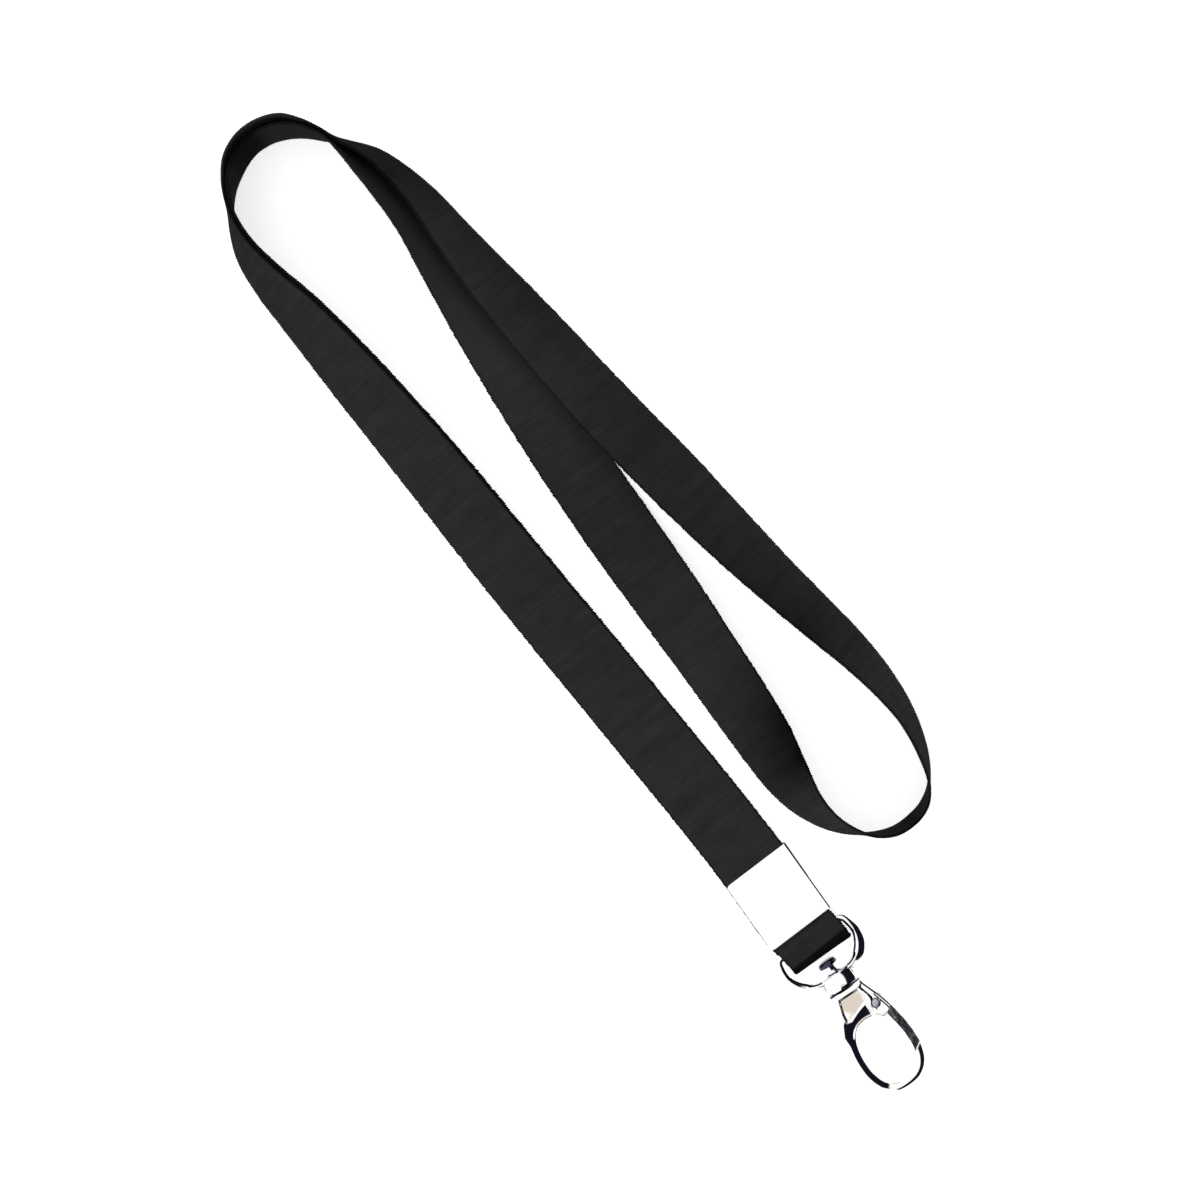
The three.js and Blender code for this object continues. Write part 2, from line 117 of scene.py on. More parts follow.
# the single strand down the right side, round the lower bend and up the middle: x, y, lean
SINGLE = [
    (22.75, 239.0, 80), (27.4, 231.5, 73), (30.2, 222.5, 68), (31.8, 213.0, 63),
    (32.4, 202.0, 56), (33.3, 189.0, 47), (34.8, 175.0, 39), (36.8, 157.0, 32),
    (39.4, 136.0, 28), (42.6, 116.0, 28), (46.0, 94.0, 34), (49.3, 75.0, 43),
    (52.8, 58.0, 50), (55.7, 44.0, 57), (57.2, 32.0, 64), (57.2, 21.0, 71),
    (54.9, 10.0, 77), (51.5, 2.6, 83), (47.0, -1.4, 88), (41.5, -2.9, 90),
    (36.0, -2.6, 90), (31.0, -0.2, 88), (26.8, 3.8, 82), (23.3, 9.5, 75),
    (21.2, 17.0, 65), (20.9, 27.0, 50), (21.7, 38.0, 38), (22.2, 52.0, 30),
    (22.5, 68.0, 25), (22.8, 86.0, 15), (22.9, 106.0, 4), (23.2, 126.0, -4),
    (24.0, 148.0, -12), (24.9, 168.0, -23), (25.5, 184.0, -35), (25.9, 198.0, -47),
    (26.1, 210.0, -57), (25.5, 220.0, -61), (24.2, 229.5, -66), (21.9, 238.0, -76),
]
# how light the yarn is drawn along the strip, as painted light and shade: mm from the cut end where
# the small loop starts, then a factor for the left and the right selvedge
PAINTED_LIGHT_TONES = [
    (45, 1.1, 1.1), (60, 1.2, 1.2), (110, 1.2, 1.2), (140, 1.1, 1.1), (230, 1.0, 1.0),
    (265, 0.8, 1.0), (290, 0.8, 0.7), (298, 1.0, 1.0), (303, 3.0, 3.0), (328, 3.0, 3.0),
    (336, 0.8, 0.8), (350, 0.6, 0.6), (362, 0.6, 0.65), (383, 0.9, 1.4), (410, 0.8, 1.4),
    (430, 1.1, 1.4), (460, 1.0, 1.1), (492, 1.2, 0.95), (530, 1.1, 0.5), (543, 1.1, 0.9),
    (555, 1.4, 1.2), (583, 1.3, 1.3), (598, 0.5, 0.4), (610, 0.9, 0.9), (622, 1.2, 1.3),
    (630, 1.2, 0.8), (640, 0.8, 0.15), (652, 1.0, 0.2), (665, 1.1, 0.6), (680, 1.1, 0.95),
    (720, 1.0, 0.9), (760, 1.3, 1.7), (797, 2.1, 2.8), (838, 2.4, 3.2), (850, 2.4, 3.0),
    (858, 1.0, 1.0), (873, 1.0, 1.0), (876, 0.5, 0.5), (880, 0.4, 0.4), (885, 0.6, 0.6),
    (888, 1.0, 1.0),
]
# the small loop round the eye's bar: x, y, z
BAR_LOOP = [
    (WEB_X, 9.5, 1.45), (WEB_X, 0.0, 1.45), (WEB_X, -9.0, 1.45), (-0.65, -11.6, 1.35),
    (-0.25, BAR_Y, 1.25), (0.15, -16.4, 1.15), (0.45, -18.6, 1.45), (0.45, -19.75, 3.1),
    (0.6, -18.9, 4.75), (0.5, -16.6, 5.35), (0.2, BAR_Y, 5.5), (-0.1, -12.3, 4.85),
    (-0.4, -11.0, 3.95), (-0.6, -9.6, 3.75), (WEB_X, -7.0, 3.75),
]


# ---------------------------------------------------------------- mesh helpers
def unit(v):
    v = np.asarray(v, float)
    return v / np.linalg.norm(v, axis=-1, keepdims=True)


def smooth(value):
    value = np.clip(value, 0, 1)
    return value * value * (3 - 2 * value)


def catmull(points, samples, closed=False):
    """Centripetal Catmull-Rom through points, with samples steps on each span."""
    p = np.asarray(points, float)
    if closed:
        p = np.vstack([p[-1], p, p[0], p[1]])
    else:
        p = np.vstack([2 * p[0] - p[1], p, 2 * p[-1] - p[-2]])
    out = []
    for i in range(1, len(p) - 2):
        d = [max(np.sum((p[i + k] - p[i + k - 1]) ** 2) ** 0.25, 1e-4) for k in (0, 1, 2)]
        t1 = ((p[i] - p[i - 1]) / d[0] - (p[i + 1] - p[i - 1]) / (d[0] + d[1])
              + (p[i + 1] - p[i]) / d[1]) * d[1]
        t2 = ((p[i + 1] - p[i]) / d[1] - (p[i + 2] - p[i]) / (d[1] + d[2])
              + (p[i + 2] - p[i + 1]) / d[2]) * d[1]
        w = np.arange(samples)[:, None] / samples
        out.append(p[i] + t1 * w + (-3 * p[i] + 3 * p[i + 1] - 2 * t1 - t2) * w ** 2
                   + (2 * p[i] - 2 * p[i + 1] + t1 + t2) * w ** 3)
    if not closed:
        out.append(p[-2:-1])
    return np.vstack(out)


def mesh_object(name, points_mm, faces, smooth_angle=None):
    mesh = bpy.data.meshes.new(name)
    mesh.from_pydata([tuple(p) for p in place(points_mm)], [], faces)
    mesh.update()
    obj = bpy.data.objects.new(name, mesh)
    bpy.context.scene.collection.objects.link(obj)
    if smooth_angle is not None:
        shade(obj, smooth_angle)
    return obj


def shade(obj, angle):
    """Smooth shading, with edges sharper than angle (degrees) kept crisp and faces turned outwards."""
    bm = bmesh.new()
    bm.from_mesh(obj.data)
    bmesh.ops.recalc_face_normals(bm, faces=bm.faces)
    for face in bm.faces:
        face.smooth = True
    for edge in bm.edges:
        edge.smooth = len(edge.link_faces) == 2 and edge.calc_face_angle() < math.radians(angle)
    bm.to_mesh(obj.data)
    bm.free()


def loft(name, loops, closed=False, smooth_angle=None):
    """Joins loops of equally many points into a tube, with capped ends or closed on itself."""
    loops = np.asarray(loops, float)
    rows, count = loops.shape[:2]
    faces = []
    for r in range(rows if closed else rows - 1):
        a, b = r * count, ((r + 1) % rows) * count
        for k in range(count):
            n = (k + 1) % count
            faces.append((a + k, a + n, b + n, b + k))
    if not closed:
        faces.append(tuple(range(count - 1, -1, -1)))
        faces.append(tuple(range((rows - 1) * count, rows * count)))
    return mesh_object(name, loops.reshape(-1, 3), faces, smooth_angle)


def lathe(name, profile, segments=48, smooth_angle=40):
    """Turns (radius, y) round the swivel axis."""
    angles = np.linspace(0, 2 * math.pi, segments, endpoint=False)
    points, faces, rings = [], [], []
    for r, y in profile:
        if r == 0:
            rings.append([len(points)])
            points.append((0.0, y, AXIS_Z))
        else:
            rings.append(list(range(len(points), len(points) + segments)))
            points += [(r * math.cos(a), y, AXIS_Z + r * math.sin(a)) for a in angles]
    for low, high in zip(rings[:-1], rings[1:]):
        for k in range(segments):
            n = (k + 1) % segments
            if len(low) == 1:
                faces.append((low[0], high[n], high[k]))
            elif len(high) == 1:
                faces.append((low[k], low[n], high[0]))
            else:
                faces.append((low[k], low[n], high[n], high[k]))
    return mesh_object(name, points, faces, smooth_angle)


def box_object(low, high):
    """A block to cut with, between two corners."""
    (x0, y0, z0), (x1, y1, z1) = low, high
    points = [(x, y, z) for x in (x0, x1) for y in (y0, y1) for z in (z0, z1)]
    faces = [(0, 1, 3, 2), (4, 6, 7, 5), (0, 4, 5, 1), (2, 3, 7, 6), (0, 2, 6, 4), (1, 5, 7, 3)]
    return mesh_object("cutter", points, faces, 30)


def rod(x, y, r, z0, z1, segments=32):
    """An upright round bar, to cut with or to join."""
    angles = np.linspace(0, 2 * math.pi, segments, endpoint=False)
    loops = [[(x + r * math.cos(a), y + r * math.sin(a), z) for a in angles] for z in (z0, z1)]
    return loft("cutter", loops, smooth_angle=30)


def boolean(obj, other, operation, smooth_angle=35):
    """Joins other to obj, or cuts it out of obj, and removes it."""
    modifier = obj.modifiers.new("boolean", "BOOLEAN")
    modifier.operation = operation
    modifier.solver = "EXACT"
    modifier.object = other
    graph = bpy.context.evaluated_depsgraph_get()
    mesh = bpy.data.meshes.new_from_object(obj.evaluated_get(graph))
    obj.modifiers.clear()
    obj.data = mesh
    bpy.data.objects.remove(other)
    shade(obj, smooth_angle)


# ---------------------------------------------------------------- materials
WEB_COLOUR = (0.0250, 0.0250, 0.0255)
CAST_COLOUR = (0.92, 0.92, 0.935)
# colour of the painted shade on the stud's head and in the joint under the boss
PAINTED_SHADE_COLOUR = (0.05, 0.05, 0.085)
STUD_PAINTED_SHADE = (-23.35, -21.0)          # mm along the swivel axis: painted shade on the stud's head
JOINT_PAINTED_SHADE = (-30.95, -30.3)         # painted shade in the joint under the boss


def new_material(name, colour, roughness, metallic=0.0):
    material = bpy.data.materials.new(name)
    material.use_nodes = True
    nodes, links = material.node_tree.nodes, material.node_tree.links
    shader = nodes["Principled BSDF"]
    shader.inputs["Base Color"].default_value = (*colour, 1.0)
    shader.inputs["Roughness"].default_value = roughness
    shader.inputs["Metallic"].default_value = metallic
    return material, nodes, links, shader


def node(nodes, kind, **values):
    made = nodes.new(kind)
    for key, value in values.items():
        if hasattr(made, key):
            setattr(made, key, value)
        else:
            made.inputs[key.replace("_", " ")].default_value = value
    return made


def webbing_material():
    """Black ribbed polyester: weft ribs, finer warp threads over them, uneven yarn, darker selvedges;
    painted shade in the rib valleys and painted light and shade along the strip.
    """
    material, nodes, links, shader = new_material("ribbed_webbing", WEB_COLOUR, 0.85)
    shader.inputs["Specular IOR Level"].default_value = 0.0
    uv = node(nodes, "ShaderNodeUVMap", uv_map="weave")      # mm from the middle, number of the rib
    split = node(nodes, "ShaderNodeSeparateXYZ")
    links.new(uv.outputs["UV"], split.inputs[0])

    def calculate(operation, first, second=None, third=None):
        made = node(nodes, "ShaderNodeMath", operation=operation)
        for socket, value in zip(made.inputs, (first, second, third)):
            if isinstance(value, (int, float)):
                socket.default_value = value
            elif value is not None:
                links.new(value, socket)
        return made.outputs[0]

    def noise(across_scale, along_scale, detail):
        mapping = node(nodes, "ShaderNodeMapping")
        mapping.inputs["Scale"].default_value = (across_scale, along_scale, 1.0)
        links.new(uv.outputs["UV"], mapping.inputs["Vector"])
        texture = node(nodes, "ShaderNodeTexNoise", Scale=1.0, Detail=detail)
        links.new(mapping.outputs["Vector"], texture.inputs["Vector"])
        return texture.outputs["Fac"]

    across, rib = split.outputs["X"], split.outputs["Y"]
    warp = calculate("SINE", calculate("MULTIPLY", across, 2 * math.pi / WARP_PITCH))
    yarn = noise(3.0, 0.9, 3.0)
    bump = node(nodes, "ShaderNodeBump", Strength=0.35, Distance=0.00005)
    links.new(calculate("MULTIPLY_ADD", warp, 0.5, yarn), bump.inputs["Height"])
    links.new(bump.outputs["Normal"], shader.inputs["Normal"])

    wave = calculate("COSINE", calculate("MULTIPLY", rib, 2 * math.pi))
    valley = calculate("MULTIPLY_ADD", wave, 0.5, 0.5)
    pick = node(nodes, "ShaderNodeTexWhiteNoise", noise_dimensions="1D")
    links.new(calculate("FLOOR", rib), pick.inputs["W"])
    cloud = noise(0.12, 0.16, 2.0)
    # the stored tone: darker selvedges, with painted light and shade along the strip and painted shade over
    # the fold
    edge = node(nodes, "ShaderNodeAttribute", attribute_name="edge_tone_and_painted_light")
    # painted shade: darker in the valleys between the ribs
    tone = calculate("MULTIPLY_ADD", calculate("MULTIPLY", valley, valley), -0.3, 1.1)
    tone = calculate("MULTIPLY", tone, calculate("MULTIPLY_ADD", pick.outputs["Value"], 0.16, 0.92))
    tone = calculate("MULTIPLY", tone, calculate("MULTIPLY_ADD", cloud, 0.5, 0.75))
    tone = calculate("MULTIPLY", tone, calculate("MULTIPLY_ADD", yarn, 0.5, 0.75))
    tone = calculate("MULTIPLY", tone, edge.outputs["Fac"])
    colour = node(nodes, "ShaderNodeMix", data_type="RGBA")
    colour.inputs["A"].default_value = (0.0, 0.0, 0.0, 1)
    colour.inputs["B"].default_value = tuple(2 * c for c in WEB_COLOUR) + (1,)
    links.new(calculate("MULTIPLY", tone, 0.5), colour.inputs["Factor"])
    links.new(colour.outputs["Result"], shader.inputs["Base Color"])
    return material


def plated_material(name, colour, roughness, scratch=0.04, wear=0.06, ripple_size=260.0, ripple_depth=0.12):
    """Polished plating over a casting or sheet: faint ripple, fine handling marks, duller patches."""
    material, nodes, links, shader = new_material(name, colour, roughness, metallic=1.0)
    position = node(nodes, "ShaderNodeTexCoord")
    ripple = node(nodes, "ShaderNodeTexNoise", Scale=ripple_size, Detail=1.0)
    links.new(position.outputs["Object"], ripple.inputs["Vector"])
    stretch = node(nodes, "ShaderNodeMapping")
    stretch.inputs["Scale"].default_value = (2600.0, 420.0, 2600.0)
    stretch.inputs["Rotation"].default_value = (0.0, 0.0, 0.5)
    links.new(position.outputs["Object"], stretch.inputs["Vector"])
    marks = node(nodes, "ShaderNodeTexNoise", Scale=1.0, Detail=4.0, Roughness=0.7)
    links.new(stretch.outputs["Vector"], marks.inputs["Vector"])
    total = node(nodes, "ShaderNodeMath", operation="MULTIPLY_ADD")
    total.inputs[1].default_value = scratch
    links.new(marks.outputs["Fac"], total.inputs[0])
    links.new(ripple.outputs["Fac"], total.inputs[2])
    bump = node(nodes, "ShaderNodeBump", Strength=ripple_depth, Distance=0.00012)
    links.new(total.outputs[0], bump.inputs["Height"])
    links.new(bump.outputs["Normal"], shader.inputs["Normal"])
    patches = node(nodes, "ShaderNodeTexNoise", Scale=420.0, Detail=5.0, Roughness=0.6)
    links.new(position.outputs["Object"], patches.inputs["Vector"])
    dull = node(nodes, "ShaderNodeMapRange")
    dull.inputs["From Min"].default_value = 0.35
    dull.inputs["From Max"].default_value = 0.75
    dull.inputs["To Min"].default_value = roughness
    dull.inputs["To Max"].default_value = roughness + wear
    links.new(patches.outputs["Fac"], dull.inputs["Value"])
    links.new(dull.outputs["Result"], shader.inputs["Roughness"])
    return material


def add_painted_shade(material, low, high):
    """Painted shade: darkens the plating over a stretch of the swivel axis, the stud's head and the joint
    under the boss.
    """
    nodes, links = material.node_tree.nodes, material.node_tree.links
    coord = node(nodes, "ShaderNodeTexCoord")
    split = node(nodes, "ShaderNodeSeparateXYZ")
    links.new(coord.outputs["Object"], split.inputs[0])
    away = node(nodes, "ShaderNodeMath", operation="SUBTRACT")
    away.inputs[1].default_value = place([0, (low + high) / 2, 0])[1]
    links.new(split.outputs["Y"], away.inputs[0])
    distance = node(nodes, "ShaderNodeMath", operation="ABSOLUTE")
    links.new(away.outputs[0], distance.inputs[0])
    near = node(nodes, "ShaderNodeMapRange")
    near.inputs["From Min"].default_value = ((high - low) / 2 + 0.1) * MM
    near.inputs["From Max"].default_value = ((high - low) / 2 - 0.1) * MM
    links.new(distance.outputs[0], near.inputs["Value"])
    colour = node(nodes, "ShaderNodeMix", data_type="RGBA")
    colour.inputs["A"].default_value = (*CAST_COLOUR, 1)
    colour.inputs["B"].default_value = (*PAINTED_SHADE_COLOUR, 1)
    links.new(near.outputs["Result"], colour.inputs["Factor"])
    links.new(colour.outputs["Result"], nodes["Principled BSDF"].inputs["Base Color"])


WEBBING = webbing_material()
NICKEL = plated_material("polished_nickel", (0.93, 0.93, 0.94), 0.06)
CAST = plated_material("plated_casting", CAST_COLOUR, 0.05, scratch=0.06)
STUD = plated_material("plated_stud", CAST_COLOUR, 0.08)
# painted shade on the stud's head
add_painted_shade(STUD, *STUD_PAINTED_SHADE)
# painted shade in the joint under the boss
add_painted_shade(CAST, *JOINT_PAINTED_SHADE)
GATE = plated_material("plated_gate", (0.88, 0.885, 0.91), 0.2, ripple_size=450.0, ripple_depth=2.6)
STEEL = plated_material("plain_steel", (0.40, 0.44, 0.50), 0.28, scratch=0.3, wear=0.12)


def finish_piece(obj, body, slot, material, *cad_nodes):
    obj.data.materials.clear()
    obj.data.materials.append(material)
    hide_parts(*cad_nodes)
    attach(obj, body)


# ---------------------------------------------------------------- webbing
def foot_height(lean, lift=0.0):
    """Height of the middle of a strip that leans, with its lower edge at the foot."""
    a = math.radians(abs(lean))
    return WEB_FOOT + lift + WEB_WIDTH / 2 * math.sin(a) + WEB_THICK / 2 * abs(math.cos(a))


def headings(rows):
    """Direction of the route at each of its rows."""
    out = []
    for i in range(len(rows)):
        a, b = rows[max(i - 1, 0)], rows[min(i + 1, len(rows) - 1)]
        out.append(unit([b[0] - a[0], b[1] - a[1], 0.0]))
    return out


def across_of(heading, lean):
    """Direction across the strip where it leans by so many degrees."""
    a = math.radians(lean)
    return np.array([heading[1] * math.cos(a), -heading[0] * math.cos(a), math.sin(a)])


def strap_stations():
    """(centre, across, width) along the whole strip of webbing, in mm."""
    small = [(np.array(p), np.array([1.0, 0, 0]), WEB_LOOP_WIDTH if p[1] < -9.5 else WEB_WIDTH)
             for p in BAR_LOOP]
    lower, upper = [], []
    for heading, (x, y, lean, lift, spacing) in zip(headings(DOUBLED), DOUBLED):
        across = across_of(heading, lean)
        centre = np.array([x, y, foot_height(lean, lift)])
        upper.append((centre + np.cross(across, heading) * spacing, across, WEB_WIDTH))
        lower.append((centre, -across, WEB_WIDTH))
    single = [(np.array([x, y, foot_height(lean)]), across_of(heading, lean), WEB_WIDTH)
              for heading, (x, y, lean) in zip(headings(SINGLE), SINGLE)]
    return small + upper[1:] + single + lower[::-1]


def strap_frames():
    """Centre, across, facing and width at every row of the weave, and the strip's length."""
    stations = strap_stations()
    centre = catmull([s[0] for s in stations], CURVE_STEPS)
    across = catmull([s[1] for s in stations], CURVE_STEPS)
    station_of = np.arange(len(centre)) / CURVE_STEPS
    width = np.interp(station_of, range(len(stations)), [s[2] for s in stations])
    run = np.concatenate([[0], np.cumsum(np.linalg.norm(np.diff(centre, axis=0), axis=1))])
    length = run[-1]
    ribs = int(length / RIB_PITCH)
    at = np.linspace(0, length, ribs * ROWS_PER_RIB + 1)
    centre = np.stack([np.interp(at, run, centre[:, k]) for k in range(3)], axis=1)
    across = np.stack([np.interp(at, run, across[:, k]) for k in range(3)], axis=1)
    width = np.interp(at, run, width)
    travel = unit(np.gradient(centre, axis=0))
    across = unit(across - travel * np.sum(across * travel, axis=1, keepdims=True))
    return at, centre, across, unit(np.cross(across, travel)), width, length


def section_ring():
    """Once round the strip's section: side, face, and (distance in, share of the thickness)."""
    back = SIDE[-2:0:-1]
    ring = [(+1, +1, s) for s in SIDE] + [(+1, -1, s) for s in back]
    return ring + [(-1, -1, s) for s in SIDE] + [(-1, +1, s) for s in back]


def ragged_edge(count, valley):
    """How far the selvedge stands out at each row: drawn in between ribs, and a little uneven."""
    random = np.random.default_rng(7)
    pulls = np.repeat(random.normal(0.0, EDGE_PULL, count // ROWS_PER_RIB + 1), ROWS_PER_RIB)[:count]
    return np.where(valley, -EDGE_NOTCH, 0.0) + pulls


def weave_data(obj, uv, edge_tone_and_painted_light):
    """Stores the weave's coordinates and the yarn's lightness on the strip, which holds painted light and
    shade.
    """
    layer = obj.data.uv_layers.new(name="weave")
    index = np.empty(len(obj.data.loops), dtype=np.int32)
    obj.data.loops.foreach_get("vertex_index", index)
    layer.data.foreach_set("uv", uv[index].astype(np.float32).ravel())
    lightness = obj.data.attributes.new("edge_tone_and_painted_light", "FLOAT", "POINT")
    lightness.data.foreach_set("value", edge_tone_and_painted_light.astype(np.float32).ravel())


def make_strap():
    """The strip of webbing, a row of points for each third of a rib."""
    at, centre, across, facing, width, length = strap_frames()
    valley = (np.arange(len(at)) % ROWS_PER_RIB) == 0
    half_thick = np.where(valley, VALLEY_HALF, RIB_HALF)
    edge = ragged_edge(len(at), valley)
    # painted shade over the fold at the bottom of the small loop
    fold_shade_mask = smooth((FOLD_Y - centre[:, 1]) / FOLD_SOFT)
    # painted light and shade along the strip, for the left and the right selvedge
    stops, left, right = zip(*PAINTED_LIGHT_TONES)
    left, right = np.interp(at, stops, left), np.interp(at, stops, right)
    rib = at / (length / int(length / RIB_PITCH))
    loops, uv, edge_tone_and_painted_light = [], [], []
    for sign, face, (inset, share) in section_ring():
        if inset is None:
            reach = np.zeros(len(at))
        else:
            reach = sign * (width / 2 - inset + (edge if inset < SELVEDGE else 0.0))
        offset = face * half_thick * share
        loops.append(centre + across * reach[:, None] + facing * offset[:, None])
        uv.append(np.stack([reach, rib], axis=1))
        rim = SELVEDGE_TONE if inset is not None and inset < SELVEDGE else 1.0
        across_share = reach / width + 0.5
        # the yarn's tone: darker selvedge rim, painted shade over the fold, painted light and shade along
        # the strip
        edge_tone_and_painted_light.append(rim * (1 - FOLD_SHADE * fold_shade_mask) * (left + (right - left) * across_share))
    obj = loft("strap_webbing", np.stack(loops, axis=1))
    for face in obj.data.polygons:
        face.use_smooth = True
    weave_data(obj, np.stack(uv, axis=1).reshape(-1, 2), np.stack(edge_tone_and_painted_light, axis=1))
    finish_piece(obj, "strap", "webbing", WEBBING, "webbing_strap")


# ---------------------------------------------------------------- crimp
def crimp_section():
    """Outer line of the folded sheet, from the open side underneath, round the spine, to the front."""
    corner, nose, flank = 0.9, 0.95, math.radians(58)
    tip_x = CRIMP_FOLD_X + CRIMP_HEIGHT / 2
    half = []
    for a in np.linspace(0, flank, 9):                       # rounded corner of the fold
        half.append((corner * math.sin(a), CRIMP_HEIGHT - corner * (1 - math.cos(a)), 0.0))
    x, z, _ = half[-1]
    drop = z - CRIMP_HEIGHT / 2 - nose * math.cos(flank)
    for share in (0.25, 0.5, 0.75, 1.0):                     # flank falling to the spine
        half.append((x + share * drop / math.tan(flank), z - share * drop, share))
    x, z, _ = half[-1]
    for a in np.linspace(flank, math.pi / 2, 6)[1:]:         # nose of the spine
        half.append((x + nose * (math.sin(a) - math.sin(flank)),
                     z - nose * (math.cos(flank) - math.cos(a)), 1.0))
    half = [(px - half[-1][0] + tip_x, pz, spine) for px, pz, spine in half]
    flats = np.linspace(CRIMP_OPEN_X, half[0][0], 24)[:-1]
    front = [(x, CRIMP_HEIGHT, 0.0) for x in flats] + half
    back = [(x, CRIMP_HEIGHT - z, spine) for x, z, spine in front]
    return back + front[-2::-1]


def make_crimp():
    """One sheet folded round the webbing, with its ends rounded where they pass over the spine."""
    rows = []
    for x, z, spine in crimp_section():
        back = SPINE_BACK * spine ** 2
        corner = CORNER_BACK * max(0.0, 1 - (x - CRIMP_OPEN_X) / CORNER_RUN) ** 2
        skew = CRIMP_SKEW * (x - CRIMP_OPEN_X / 2)
        low, high = CRIMP_BOTTOM + back + corner, CRIMP_TOP - back - corner
        belly = CRIMP_BELLY * math.sin(math.pi * (x - CRIMP_OPEN_X) / BELLY_SPAN)
        belly = belly * (1 if z > CRIMP_HEIGHT / 2 else -1)
        rows.append([(x, y + skew, z + belly * math.cos(y / 7.5))
                     for y in [low, *np.linspace(low + 0.2, high - 0.2, 22), high]])
    points = np.array(rows).reshape(-1, 3)
    count = len(rows[0])
    faces = [(r * count + k, r * count + k + 1, (r + 1) * count + k + 1, (r + 1) * count + k)
             for r in range(len(rows) - 1) for k in range(count - 1)]
    obj = mesh_object("crimp_sheet", points, faces)
    thick = obj.modifiers.new("sheet", "SOLIDIFY")
    thick.thickness, thick.offset = CRIMP_SHEET * MM, -1.0
    bevel = obj.modifiers.new("edge", "BEVEL")
    bevel.width, bevel.segments, bevel.limit_method = CRIMP_EDGE * MM, 3, "ANGLE"
    bevel.angle_limit = math.radians(50)
    graph = bpy.context.evaluated_depsgraph_get()
    mesh = bpy.data.meshes.new_from_object(obj.evaluated_get(graph))
    obj.modifiers.clear()
    obj.data = mesh
    shade(obj, 60)
    finish_piece(obj, "strap", "polished_nickel", NICKEL, "crimp_plate")


# ---------------------------------------------------------------- eye
# right half of the wire's middle line, from the bar to the boss: x, y
EYE_HALF = [(4.5, BAR_Y), (9.3, BAR_Y), (10.8, -14.6), (11.5, -16.4), (11.75, -19.4),
            (11.0, -22.2), (9.7, -24.2), (7.9, -25.8), (5.6, -26.8), (3.0, -27.1)]
# y, radius of the wire there
EYE_WIRE = [(-14.6, 1.0), (-16.6, 1.1), (-20.0, 1.15), (-22.4, 1.55), (-24.5, 1.65)]
BOSS_TOP, BOSS_BOTTOM, BOSS_FLAT, BOSS_WIDE = -25.7, -30.3, 0.9, 4.4
BOSS_THICK, BOSS_SIDE, BORE_R = 3.2, 1.75, 2.0
# the stud's radius and y, from its foot in the hook to the top of its head
STUD_PROFILE = [
    (0, -34.6), (1.45, -34.6), (1.6, -34.4), (1.6, -23.6), (1.75, -23.3), (2.5, -23.2),
    (2.7, -23.12), (2.75, -22.98), (2.72, -22.35), (2.45, -21.9), (1.9, -21.66), (0, -21.6),
]


def rounded(corners, radius, steps=5):
    """Outline of a convex polygon with its corners rounded off."""
    corners = np.asarray(corners, float)
    out = []
    for i in range(len(corners)):
        before, here, after = corners[i - 1], corners[i], corners[(i + 1) % len(corners)]
        start, end = here + unit(before - here) * radius, here + unit(after - here) * radius
        for t in np.linspace(0, 1, steps):
            out.append((1 - t) ** 2 * start + 2 * t * (1 - t) * here + t ** 2 * end)
    return np.array(out)


def make_eye():
    """The ring of wire with its boss, and the bore through the boss."""
    line = catmull([(x, y, AXIS_Z) for x, y in EYE_HALF + [(-x, y) for x, y in EYE_HALF[::-1]]],
                   16, closed=True)
    travel = unit(np.roll(line, -1, axis=0) - np.roll(line, 1, axis=0))
    out = np.cross(travel, [0, 0, 1.0])
    angles = np.linspace(0, 2 * math.pi, 32, endpoint=False)
    levels, radii = zip(*EYE_WIRE[::-1])
    loops = []
    for p, o in zip(line, out):
        r = np.interp(p[1], levels, radii)
        power = 2 / np.interp(p[1], (-19.0, -15.0), (1.2, 2.0))     # parting-line edge lower down
        across = np.sign(np.cos(angles)) * np.abs(np.cos(angles)) ** power
        rise = np.sign(np.sin(angles)) * np.abs(np.sin(angles)) ** power
        rise = rise * np.interp(p[1], (-26.4, -25.0, -18.0, -15.0), (1.25, 0.76, 0.76, 1.0))
        across = across + np.interp(p[1], (-19.0, -15.0), (0.32, 0.0)) * np.clip(rise, 0, 1)
        loops.append([p + o * r * a + np.array([0, 0, r * u]) for a, u in zip(across, rise)])
    ring = loft("eye_ring", loops, closed=True, smooth_angle=42)
    quarter = [(BOSS_FLAT, BOSS_THICK), (2.1, 2.87), (BOSS_WIDE, BOSS_SIDE)]
    right = quarter + [(x, -z) for x, z in quarter[::-1]]
    outline = rounded(right + [(-x, z) for x, z in right[::-1]], 0.45)
    slices = [(BOSS_BOTTOM, 0.91), (BOSS_BOTTOM + 0.55, 0.995), (BOSS_BOTTOM + 0.7, 1.0),
              (BOSS_TOP - 0.4, 1.0), (BOSS_TOP - 0.12, 0.965), (BOSS_TOP, 0.91)]
    boss = loft("boss", [[(x * k, y, AXIS_Z + z * k) for x, z in outline] for y, k in slices],
                smooth_angle=35)
    boolean(ring, boss, "UNION")
    bore = lathe("bore", [(0, -33), (BORE_R, -33), (BORE_R, -24), (0, -24)], 40)
    boolean(ring, bore, "DIFFERENCE")
    finish_piece(ring, "eye", "polished_nickel", CAST, "swivel_eye")


def make_stud():
    stud = lathe("stud_turned", STUD_PROFILE)
    finish_piece(stud, "hook", "polished_nickel", STUD, "swivel_stud")


# ---------------------------------------------------------------- hook
HOOK_CENTRE = np.array([0.0, -50.3])    # the oval's angles are taken about it
HOOK_TOP = -30.65
HOOK_SKEW, SKEW_Y = -1.8, -30.6         # degrees off the swivel's axis, turned about this place on it
